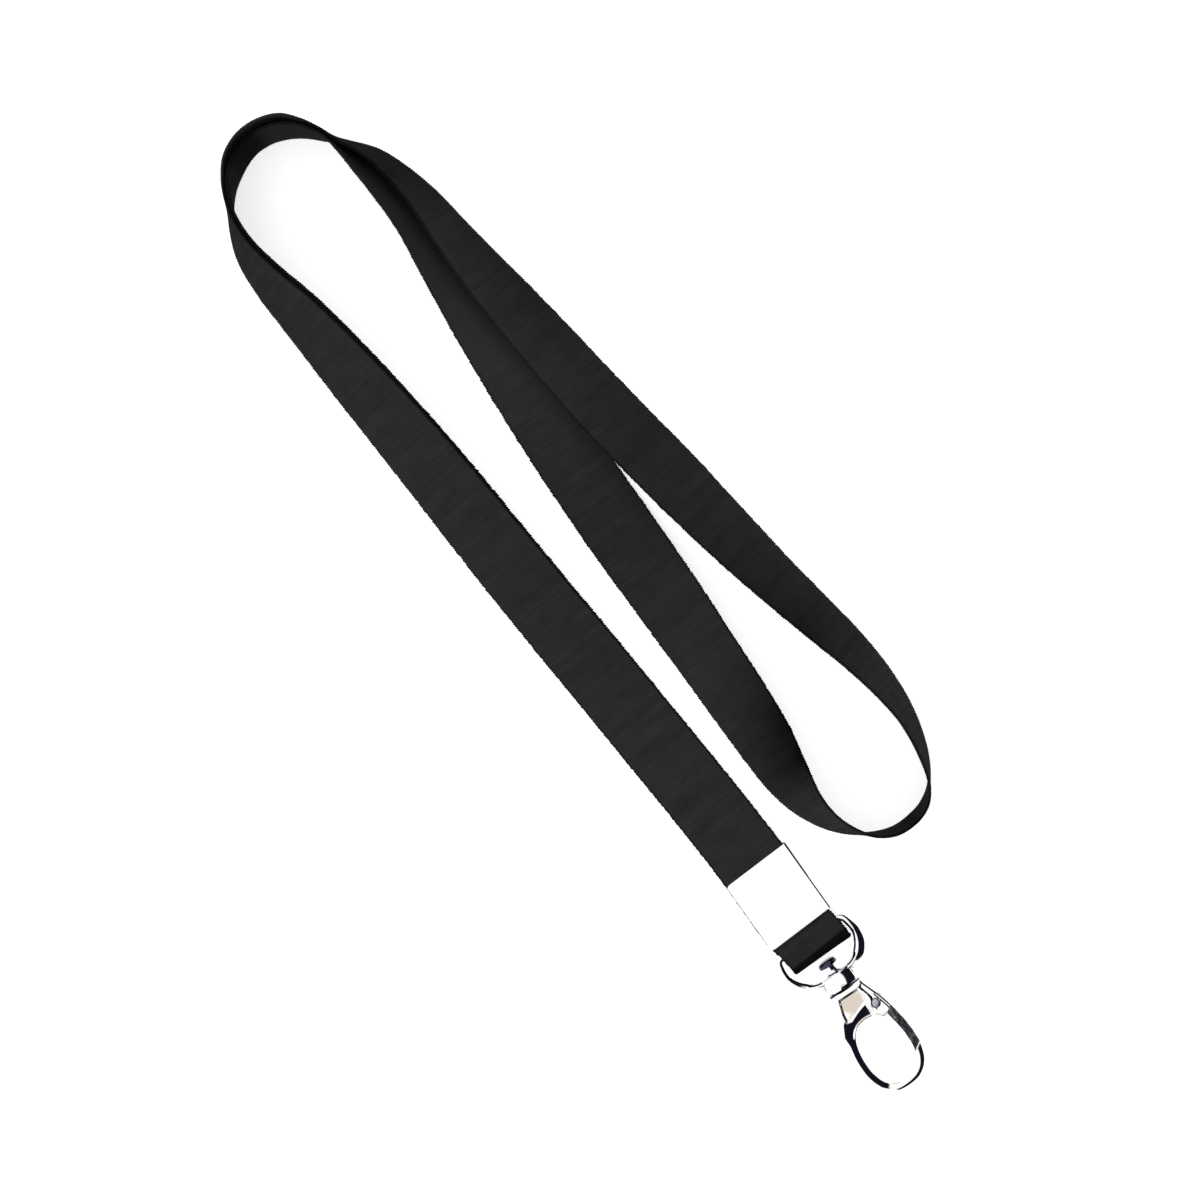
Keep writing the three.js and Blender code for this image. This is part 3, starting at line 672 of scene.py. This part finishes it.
# right half of the oval's contour and of its opening, then the whole of the shield
OUTER = [(4.9, -30.7), (5.3, -32.2), (6.8, -36.3), (8.15, -41.0), (9.05, -46.0), (9.45, -50.5),
         (9.15, -55.1), (7.5, -59.4), (4.2, -62.15), (0.0, -62.85)]
INNER = [(0.0, -41.2), (2.8, -41.8), (4.9, -43.8), (6.1, -47.0), (6.55, -51.0), (6.15, -55.2),
         (4.3, -59.1), (0.0, -60.7)]
SHIELD = [(-3.4, -32.3), (3.1, -32.3), (4.3, -35.4), (3.2, -37.0), (0.2, -38.0), (-3.6, -39.6),
          (-5.1, -39.2), (-4.7, -36.4)]
SHIELD_CROWN, SHIELD_R = (-0.3, -31.0), 40.0            # its highest place, and how flat it is
PART_LINE = np.array([[5.2, -56.5], [10.5, -53.3]])     # where the gate's free end meets the hook
FACE_HEIGHT = 2.72                      # half of the hook's thickness
KNUCKLE_R = 3.9                         # the hook's shoulder ends at this radius round the pin
PIN_HOLE_R, PIN_R = 1.45, 1.15
SEAM = 0.3                              # gap at the gate's two ends
TONGUE_R, TONGUE_LOW, TONGUE_HIGH = 2.6, -1.4, -0.2     # the gate's flat end, inside the slot
SOCKET_R = 2.0
COLUMNS = 60                            # points across the limb of the oval


def both_sides(half):
    return np.array(half + [(-x, y) for x, y in half[::-1] if x > 0])


OUTER_LINE = catmull(both_sides(OUTER), 24)
INNER_LINE = catmull(both_sides(INNER), 24, closed=True)


def polar(line):
    rel = line - HOOK_CENTRE
    angle = np.degrees(np.arctan2(rel[:, 1], rel[:, 0])) % 360
    order = np.argsort(angle)
    return angle[order], np.linalg.norm(rel, axis=1)[order]


OUTER_POLAR, INNER_POLAR = polar(OUTER_LINE), polar(INNER_LINE)


def plan_point(theta, share):
    """Point of the oval in plan: share 0 is on the outer contour, 1 on the opening's."""
    theta = np.asarray(theta, float)
    along = np.stack([np.cos(np.radians(theta)), np.sin(np.radians(theta))], axis=-1)
    outer = np.interp(theta % 360, *OUTER_POLAR, period=360)
    upward = np.where(along[..., 1] > 0.9, along[..., 1], 1e-3)
    outer = np.minimum(outer, np.where(along[..., 1] > 0.9, (HOOK_TOP - HOOK_CENTRE[1]) / upward, 99.0))
    inner = np.interp(theta % 360, *INNER_POLAR, period=360)
    return HOOK_CENTRE + along * (outer + (inner - outer) * share)[..., None]


def distance_to(line, points):
    """Distance from each point to a closed polyline."""
    line = np.asarray(line, float)
    best = np.full(len(points), 1e9)
    for p, q in zip(line, np.roll(line, -1, axis=0)):
        run = q - p
        t = np.clip((points - p) @ run / max(run @ run, 1e-12), 0, 1)
        best = np.minimum(best, np.linalg.norm(points - p - t[:, None] * run, axis=1))
    return best


def inside(polygon, points):
    """Whether each point is inside the polygon."""
    polygon = np.asarray(polygon, float)
    hit = np.zeros(len(points), bool)
    for p, q in zip(polygon, np.roll(polygon, -1, axis=0)):
        crosses = (p[1] > points[:, 1]) != (q[1] > points[:, 1])
        with np.errstate(divide="ignore", invalid="ignore"):
            at = (q[0] - p[0]) * (points[:, 1] - p[1]) / (q[1] - p[1]) + p[0]
        hit ^= crosses & (points[:, 0] < at)
    return hit


def gate_height(rim, hole):
    """One broad facet, with a narrow one on the inside."""
    outer = np.interp(rim, (0, 0.07, 0.25, 2.5, 3.2), (1.3, 1.55, 1.72, 2.66, FACE_HEIGHT))
    inner = np.interp(hole, (0, 0.06, 0.2, 0.45, 3.0), (1.3, 1.7, 2.1, 2.6, 3.4))
    return np.minimum(outer, inner)


def outer_height(x, y, rim):
    """Rise from the outer contour: a bevel on the limb, steps on the shoulder, a cheek by the pin."""
    limb = np.interp(rim, (0, 0.07, 0.25, 1.15, 1.6), (1.4, 1.68, 1.93, 2.55, 2.8))
    stepped = np.interp(rim, (0, 0.07, 0.2, 0.62, 1.0, 1.3, 1.5),
                        (1.35, 1.65, 1.85, 2.18, 2.25, 2.5, FACE_HEIGHT))
    cheek = np.interp(rim, (0, 0.07, 0.2, 0.55, 0.8, 2.3, 2.5),
                      (1.35, 1.6, 1.75, 2.0, 2.03, 2.68, FACE_HEIGHT))
    beside_pin = smooth((x - 4.0) / 1.0) * smooth((-35.5 - y) / 1.5) * smooth((y + 43.2) / 1.0)
    stepped = stepped + (cheek - stepped) * beside_pin
    shoulder = smooth((y + 43.0) / 3.0)
    return limb + (stepped - limb) * np.maximum(shoulder, beside_pin)


def inner_height(x, y, hole):
    """Rise from the opening: a facet on the limb, steeper at the lower right, and a ledge at the top."""
    facet = np.interp(hole, (0, 0.08, 0.25, 1.75, 2.9), (1.35, 1.6, 1.78, 2.5, 3.1))
    steep = np.interp(hole, (0, 0.08, 0.25, 1.05, 2.9), (1.35, 1.6, 1.78, 2.55, 3.8))
    facet = facet + (steep - facet) * smooth((x + 3.0) / 4.0) * smooth((-52.0 - y) / 2.0)
    lip = 0.85
    slope = 1.05 + (hole - lip) * np.interp(x, (-4, 0, 3), (0.5, 0.42, 0.34))
    ledge = np.where(hole < lip, np.interp(hole, (0, 0.1, 0.3, lip), (0.65, 0.92, 1.02, 1.05)), slope)
    ledge = ledge + 0.85 * smooth((x - 2.25) / 0.7)          # full thickness over the gate's slot
    return facet + (ledge - facet) * smooth((y + 45.5) / 4.0)


def hook_height(points, gate):
    """Height of the front face over the middle plane: bevels, ridge, shield and slope."""
    rim = distance_to(np.vstack([OUTER_LINE, [[-4.9, HOOK_TOP], [4.9, HOOK_TOP]]]), points)
    hole = distance_to(INNER_LINE, points)
    if gate:
        return gate_height(rim, hole)
    x, y = points[:, 0], points[:, 1]
    height = np.minimum(np.minimum(outer_height(x, y, rim), inner_height(x, y, hole)), FACE_HEIGHT)
    depth = distance_to(SHIELD, points) * np.where(inside(SHIELD, points), 1, -1)
    crown = 2.38 - ((x - SHIELD_CROWN[0]) ** 2 + (y - SHIELD_CROWN[1]) ** 2) / (2 * SHIELD_R)
    height = height + (np.minimum(crown, height) - height) * smooth((depth + 0.05) / 0.7)
    # the right of the shoulder falls away to the gate's pivot
    beside = np.interp(y, (-38.5, -36.5, -32.0), (3.6, 4.2, 2.9))
    fall = smooth((x - beside) / 0.9) * smooth((-31.6 - y) / 1.0) * smooth((y + 43.0) / 1.5)
    return np.minimum(height, FACE_HEIGHT - 0.5 * fall)


def crossing(column, test, low, high):
    """Angle at which a line of the oval meets the joint, by bisection."""
    for _ in range(36):
        middle = (low + high) / 2
        if test(plan_point(middle, column)) > 0:
            low = middle
        else:
            high = middle
    return (low + high) / 2


def below_joint(shift):
    """Test for the parting line where the gate's free end meets the hook."""
    along = unit(PART_LINE[1] - PART_LINE[0])
    normal = np.array([-along[1], along[0]])
    return lambda point: shift - (point - PART_LINE[0]) @ normal


def outside_knuckle(radius):
    """Test for the round joint at the gate's hinged end."""
    return lambda point: np.linalg.norm(point - PIVOT) - radius


def oval_piece(name, start, end, rows, gate):
    """Part of the oval between two joints; start and end give (test, low, high) for each."""
    even = np.linspace(0, 1, COLUMNS)
    columns = (even + (1 - np.cos(math.pi * even)) / 2) / 2
    first = np.array([crossing(c, *start) for c in columns])
    last = np.array([crossing(c, *end) for c in columns])
    dense = np.linspace(0, 1, 1500)
    middle = plan_point(first[0] + (last[0] - first[0]) * dense, 0.0)
    run = np.concatenate([[0], np.cumsum(np.linalg.norm(np.diff(middle, axis=0), axis=1))])
    shares = np.interp(np.linspace(0, run[-1], rows), run, dense)
    loops = []
    for share in shares:
        plan = plan_point(first + (last - first) * share, columns)
        height = hook_height(plan, gate)[:, None]
        front = np.hstack([plan, AXIS_Z + height])
        back = np.hstack([plan, AXIS_Z - height])
        loops.append(np.vstack([front, back[::-1]]))
    return loft(name, loops, smooth_angle=40)


def hung(obj):
    """Turns one of the hook's own pieces to the way the hook hangs."""
    centre = Matrix.Translation(Vector(place([0.0, SKEW_Y, 0.0])))
    obj.data.transform(centre @ Matrix.Rotation(math.radians(HOOK_SKEW), 4, "Z") @ centre.inverted())
    return obj


def make_hook():
    """The hook with its slot, pin hole and socket, and the gate with the tongue that the pin holds."""
    body = oval_piece("hook_oval", (outside_knuckle(KNUCKLE_R), 15, 72),
                      (below_joint(-SEAM), 285, 355), 330, gate=False)
    for left, low, high in ((2.1, -1.7, 0.5), (2.95, -1.7, 1.7)):             # slot for the gate and spring
        box = box_object((left, -45.0, AXIS_Z + low), (12, -35.6, AXIS_Z + high))
        boolean(body, box, "DIFFERENCE")
    boolean(body, rod(*PIVOT, PIN_HOLE_R, AXIS_Z - 4, AXIS_Z + 4), "DIFFERENCE")
    socket = lathe("socket", [(0, -35.0), (SOCKET_R, -35.0), (SOCKET_R, -29.0), (0, -29.0)], 40)
    boolean(body, socket, "DIFFERENCE")
    finish_piece(hung(body), "hook", "polished_nickel", CAST, "hook_body")

    gate = oval_piece("gate_limb", (below_joint(0.0), 285, 355),
                      (outside_knuckle(KNUCKLE_R + SEAM), 375, 432), 90, gate=True)
    tongue = rod(*PIVOT, TONGUE_R, AXIS_Z + TONGUE_LOW, AXIS_Z + TONGUE_HIGH, 48)
    boolean(gate, tongue, "UNION")
    plan = [(PIVOT[0] - 0.2, PIVOT[1]), (5.6, -43.6), (8.0, -43.6), (7.4, PIVOT[1] - 0.6)]
    levels = (AXIS_Z + TONGUE_LOW, AXIS_Z + TONGUE_HIGH)
    arm = loft("arm", [[(x, y, z) for x, y in plan] for z in levels], smooth_angle=30)
    boolean(gate, arm, "UNION")
    boolean(gate, rod(*PIVOT, PIN_HOLE_R, AXIS_Z - 4, AXIS_Z + 4), "DIFFERENCE")
    finish_piece(hung(gate), "gate", "polished_nickel", GATE, "hook_gate")


def make_pin():
    """A rivet with slightly domed ends."""
    heights = [(-2.5, 0.0), (-2.49, PIN_R * 0.5), (-2.42, PIN_R * 0.85), (-2.28, PIN_R)]
    profile = heights + [(-z, r) for z, r in heights[::-1]]
    angles = np.linspace(0, 2 * math.pi, 40, endpoint=False)
    loops = [[(PIVOT[0] + max(r, 0.02) * math.cos(a), PIVOT[1] + max(r, 0.02) * math.sin(a), AXIS_Z + z)
              for a in angles] for z, r in profile]
    pin = loft("pin_rivet", loops, smooth_angle=40)
    finish_piece(hung(pin), "hook", "plain_steel", STEEL, "gate_pin")


def make_spring():
    """A coil round the pin, with one leg against the hook and one against the gate."""
    turns, radius, wire, low, rise, per_turn = 2.25, 1.7, 0.18, 0.25, 0.9, 16
    points = [(2.3, -36.3, low)]
    for i in range(int(turns * per_turn) + 1):
        a = -math.pi * 1.25 + i / per_turn * 2 * math.pi
        points.append((PIVOT[0] + radius * math.cos(a), PIVOT[1] + radius * math.sin(a),
                       low + rise * i / (turns * per_turn)))
    points.append((6.1, -42.0, low + rise))
    line = catmull(points, 4) + np.array([0, 0, AXIS_Z])
    travel = unit(np.gradient(line, axis=0))
    side = unit(np.cross(travel, [0, 0, 1.0]))
    up = np.cross(side, travel)
    angles = np.linspace(0, 2 * math.pi, 10, endpoint=False)
    loops = [[p + wire * (s * math.cos(a) + u * math.sin(a)) for a in angles]
             for p, s, u in zip(line, side, up)]
    spring = loft("spring_coil", loops, smooth_angle=50)
    finish_piece(hung(spring), "hook", "plain_steel", STEEL, "gate_spring")


make_crimp()
make_strap()
make_eye()
make_stud()
make_hook()
make_pin()
make_spring()


# ---------------------------------------------------------------- floor and light
LIGHT = 1.15
FLOOR_GLOW = 0.7                           # lit from below, like a light table
WALL_BEARING, WALL_HALF = -35.0, 70.0      # degrees; the wall stands to the view's right
WALL_LOW, WALL_HIGH = 4.0, 58.0
WALL_SHADES = ((0.35, (0.62, 0.5, 0.45)), (0.62, (0.12, 0.07, 0.055)), (0.85, (0.02, 0.016, 0.024)))
TAN_BEARING, TAN_ELEVATION, TAN_RADIUS = -94.0, 68.5, 9.0     # a warm patch that the shield reflects
TAN_COLOUR = (0.69, 0.61, 0.52)


def make_floor():
    size = 6.0
    mesh = bpy.data.meshes.new("floor")
    mesh.from_pydata([(-size, -size, 0), (size, -size, 0), (size, size, 0), (-size, size, 0)], [],
                     [(0, 1, 2, 3)])
    floor = bpy.data.objects.new("floor", mesh)
    bpy.context.scene.collection.objects.link(floor)
    material, _, _, shader = new_material("floor_paper", (0.82, 0.82, 0.82), 0.9)
    shader.inputs["Specular IOR Level"].default_value = 0.0
    shader.inputs["Emission Color"].default_value = (1.0, 1.0, 1.0, 1.0)
    shader.inputs["Emission Strength"].default_value = FLOOR_GLOW
    mesh.materials.append(material)


def make_world():
    """A white room with one dark wall to the view's right, for the metal to reflect."""
    world = bpy.data.worlds.new("studio")
    bpy.context.scene.world = world
    world.use_nodes = True
    nodes, links = world.node_tree.nodes, world.node_tree.links
    background = nodes["Background"]
    background.inputs["Strength"].default_value = LIGHT
    coord = nodes.new("ShaderNodeTexCoord")
    split = nodes.new("ShaderNodeSeparateXYZ")
    links.new(coord.outputs["Generated"], split.inputs[0])

    def math_node(operation, first, second=None):
        made = nodes.new("ShaderNodeMath")
        made.operation = operation
        for socket, value in zip(made.inputs, (first, second)):
            if isinstance(value, (int, float)):
                socket.default_value = value
            elif value is not None:
                links.new(value, socket)
        return made.outputs[0]

    def beyond(value, edge, soft):
        """1 where value is over edge, 0 under it, with a soft change."""
        made = nodes.new("ShaderNodeMapRange")
        made.interpolation_type = "SMOOTHSTEP"
        made.inputs["From Min"].default_value = edge - soft
        made.inputs["From Max"].default_value = edge + soft
        links.new(value, made.inputs["Value"])
        return made.outputs["Result"]

    elevation = math_node("ARCSINE", split.outputs["Z"])
    bearing = math_node("ARCTAN2", split.outputs["Y"], split.outputs["X"])
    offset = math_node("ABSOLUTE", math_node("SUBTRACT", bearing, math.radians(WALL_BEARING)))
    over_foot = beyond(elevation, math.radians(WALL_LOW), math.radians(3))
    over_top = beyond(elevation, math.radians(WALL_HIGH), math.radians(4))
    past_side = beyond(offset, math.radians(WALL_HALF), math.radians(8))
    wall = math_node("MULTIPLY", over_foot, math_node("SUBTRACT", 1.0, over_top))
    wall = math_node("MULTIPLY", wall, math_node("SUBTRACT", 1.0, past_side))
    shades = nodes.new("ShaderNodeValToRGB")
    ramp = shades.color_ramp
    ramp.elements[0].position, ramp.elements[0].color = 0.0, (1, 1, 1, 1)
    ramp.elements[1].position, ramp.elements[1].color = 1.0, (0.006, 0.006, 0.011, 1)
    for at, colour in WALL_SHADES:
        element = ramp.elements.new(at)
        element.color = (*colour, 1)
    links.new(wall, shades.inputs["Fac"])
    tan = nodes.new("ShaderNodeVectorMath")
    tan.operation = "DOT_PRODUCT"
    a, b = math.radians(TAN_ELEVATION), math.radians(TAN_BEARING)
    tan.inputs[1].default_value = (math.cos(a) * math.cos(b), math.cos(a) * math.sin(b), math.sin(a))
    links.new(coord.outputs["Generated"], tan.inputs[0])
    disc = beyond(math_node("MULTIPLY", math_node("ARCCOSINE", tan.outputs["Value"]), -1.0),
                  -math.radians(TAN_RADIUS), math.radians(0.8))
    mix = nodes.new("ShaderNodeMix")
    mix.data_type = "RGBA"
    links.new(disc, mix.inputs["Factor"])
    links.new(shades.outputs["Color"], mix.inputs["A"])
    mix.inputs["B"].default_value = (*TAN_COLOUR, 1)
    links.new(mix.outputs["Result"], background.inputs["Color"])


make_floor()
make_world()
bpy.context.scene.view_settings.view_transform = "Standard"
